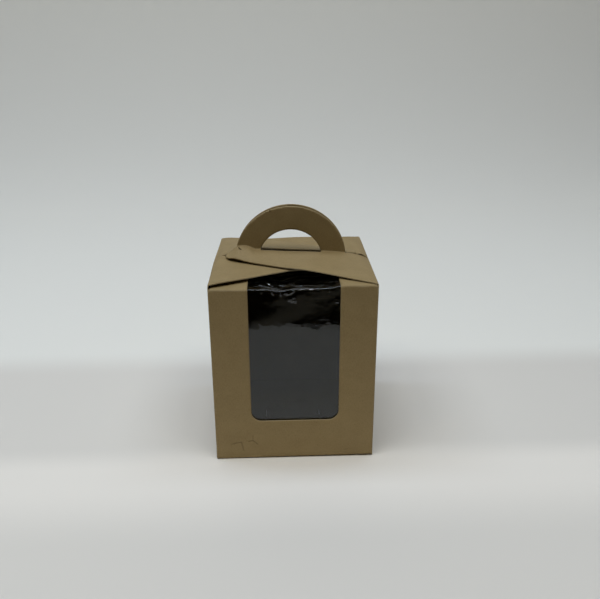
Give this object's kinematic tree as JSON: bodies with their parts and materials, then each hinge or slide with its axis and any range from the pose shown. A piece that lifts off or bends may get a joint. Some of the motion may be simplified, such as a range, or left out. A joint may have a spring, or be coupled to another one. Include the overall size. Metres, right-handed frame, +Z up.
{
  "type": "kraft window box",
  "caption": "Square folding carton for a cupcake, with a clear window that wraps over the top front edge, a locking base and an upright half-ring handle on two hinged flaps.",
  "frame": {"origin": "middle of the base, on the surface that the box stands on", "axes": "+Z up, +X to the right seen from the window, -Y towards the window"},
  "size_m": [0.092, 0.092, 0.1414],
  "materials": {
    "kraft_board": "uncoated brown kraft paperboard, matte",
    "clear_film": "clear glossy film"
  },
  "bodies": {
    "carton": {"carton": "kraft_board", "window_film": "clear_film"},
    "right_flap": {"right_handle_flap": "kraft_board"},
    "left_flap": {"left_handle_flap": "kraft_board"}
  },
  "joints": [
    {"name": "right_flap_hinge", "type": "hinge", "parent": "carton", "child": "right_flap", "pos_m": [0.04575, 0, 0.10775], "axis": [0, 1, 0], "range_deg": [0, 180]},
    {"name": "left_flap_hinge", "type": "hinge", "parent": "carton", "child": "left_flap", "pos_m": [-0.04575, 0, 0.10775], "axis": [0, -1, 0], "range_deg": [0, 180]}
  ]
}
